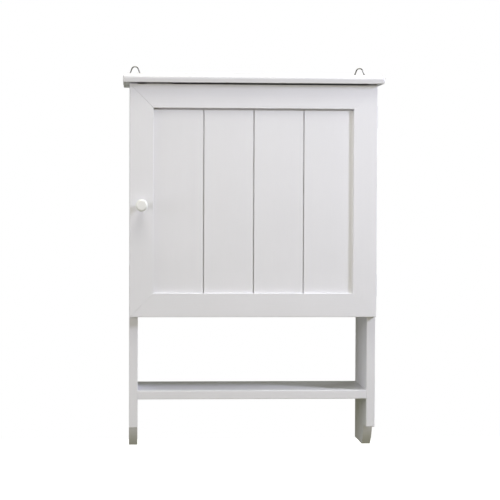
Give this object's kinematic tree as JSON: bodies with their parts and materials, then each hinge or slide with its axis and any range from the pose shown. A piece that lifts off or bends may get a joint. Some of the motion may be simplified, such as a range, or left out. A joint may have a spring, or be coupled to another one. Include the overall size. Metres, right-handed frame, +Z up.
{
  "type": "apothecary wall cabinet",
  "caption": "White painted wall cabinet with a boarded, framed door over an open shelf between side legs, hung on ring hangers.",
  "frame": {"origin": "on the plane of the cabinet's back edges, midway between the points where the two rings hang on their hooks", "axes": "+X to the right seen from the front, +Y into the wall, +Z up; the door's front faces -Y"},
  "size_m": [0.455, 0.2006, 0.6796],
  "materials": {
    "white_paint": "satin white paint over wood",
    "knob_paint": "gloss white paint over turned wood",
    "back_paint": "thin white-faced board",
    "bare_wood": "bare beech",
    "zinc_steel": "zinc plated",
    "dark_steel": "dull nickel plated",
    "white_plastic": "moulded",
    "magnet": "sintered ferrite",
    "felt": "felt pad"
  },
  "bodies": {
    "cabinet": {"top_board": "white_paint", "left_side_panel": "white_paint", "right_side_panel": "white_paint", "bottom_panel": "white_paint", "lower_shelf": "white_paint", "inner_shelf": "white_paint", "back_panel": "back_paint", "back_panel_nails": "zinc_steel", "top_board_dowels": "bare_wood", "bottom_panel_dowels": "bare_wood", "lower_shelf_dowels": "bare_wood", "shelf_pins": "zinc_steel", "catch_housing": "white_plastic", "catch_magnet": "magnet", "catch_pole_plates": "zinc_steel", "catch_screws": "zinc_steel", "door_buffers": "felt", "upper_hinge_cabinet_leaf": "zinc_steel", "lower_hinge_cabinet_leaf": "zinc_steel", "upper_hinge_pin": "zinc_steel", "lower_hinge_pin": "zinc_steel", "hinge_cabinet_screws": "zinc_steel", "left_hanger_strap": "dark_steel", "right_hanger_strap": "dark_steel", "hanger_screws": "zinc_steel"},
    "door": {"door_left_stile": "white_paint", "door_right_stile": "white_paint", "door_top_rail": "white_paint", "door_bottom_rail": "white_paint", "door_corner_dowels": "bare_wood", "door_board_1": "white_paint", "door_board_2": "white_paint", "door_board_3": "white_paint", "door_board_4": "white_paint", "door_knob": "knob_paint", "knob_screw": "zinc_steel", "upper_hinge_door_leaf": "zinc_steel", "lower_hinge_door_leaf": "zinc_steel", "hinge_door_screws": "zinc_steel", "strike_plate": "zinc_steel", "strike_screw": "zinc_steel"},
    "left_ring": {"left_hanger_ring": "dark_steel"},
    "right_ring": {"right_hanger_ring": "dark_steel"}
  },
  "joints": [
    {"name": "door_swing", "type": "hinge", "parent": "cabinet", "child": "door", "pos_m": [0.2162, -0.1605, -0.2424], "axis": [0, 0, 1], "range_deg": [0, 175]},
    {"name": "left_ring_swing", "type": "hinge", "parent": "cabinet", "child": "left_ring", "pos_m": [-0.206, 0.0024, -0.0199], "axis": [-1, 0, 0], "range_deg": [-85, 170]},
    {"name": "right_ring_swing", "type": "hinge", "parent": "cabinet", "child": "right_ring", "pos_m": [0.206, 0.0024, -0.0199], "axis": [-1, 0, 0], "range_deg": [-85, 170]}
  ]
}
